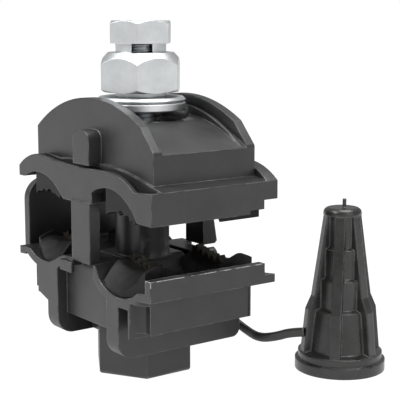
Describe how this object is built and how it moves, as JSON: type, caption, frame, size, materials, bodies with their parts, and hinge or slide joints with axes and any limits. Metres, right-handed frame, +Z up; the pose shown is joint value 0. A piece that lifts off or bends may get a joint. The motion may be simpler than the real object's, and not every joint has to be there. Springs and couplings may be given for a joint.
{
  "type": "insulation piercing connector",
  "caption": "Insulation piercing connector: two moulded jaws with toothed blades and soft seals, drawn together by a shear nut on a bolt, with an end cap on a tether.",
  "frame": {"origin": "bolt axis on the resting face of the boss", "axes": "+Z up the bolt, +Y along the conductors, +X towards the main conductor's side"},
  "size_m": [0.0695, 0.064, 0.0797],
  "materials": {
    "housing": "glass-filled black polymer, fine matte grain",
    "soft_plastic": "flexible black polymer, slightly glossy",
    "seal": "soft black elastomer",
    "blade": "tinned contact metal, dull",
    "zinc": "bright zinc plating",
    "bolt_steel": "zinc-plated steel, darker in the thread"
  },
  "bodies": {
    "lower": {"lower_housing": "housing", "blade_lower_front": "blade", "blade_lower_rear": "blade", "seal_lower_main_front": "seal", "seal_lower_tap_front": "seal", "seal_lower_main_rear": "seal", "seal_lower_tap_rear": "seal", "bolt": "bolt_steel", "cap_strap": "soft_plastic", "end_cap": "soft_plastic"},
    "upper": {"upper_housing": "housing", "blade_upper_front": "blade", "blade_upper_rear": "blade", "seal_upper_main_front": "seal", "seal_upper_tap_front": "seal", "seal_upper_main_rear": "seal", "seal_upper_tap_rear": "seal"},
    "washers": {"flat_washer": "zinc", "dished_washer": "zinc"},
    "nut": {"shear_nut": "zinc"}
  },
  "joints": [
    {"name": "washer_slide", "type": "slide", "parent": "lower", "child": "washers", "axis": [0, 0, -1], "range_m": [0, 0.0096]},
    {"name": "nut_turn", "type": "hinge", "parent": "washers", "child": "nut", "pos_m": [0, 0, 0.0683], "axis": [0, 0, -1], "range_deg": [0, 2765]},
    {"name": "clamp_slide", "type": "slide", "parent": "lower", "child": "upper", "axis": [0, 0, -1], "range_m": [0, 0.007]}
  ],
  "couplings": [
    {"joint": "nut_turn", "follows": "washer_slide", "rad_per_m": 5026.5},
    {"joint": "clamp_slide", "follows": "washer_slide", "ratio": 0.72917}
  ]
}
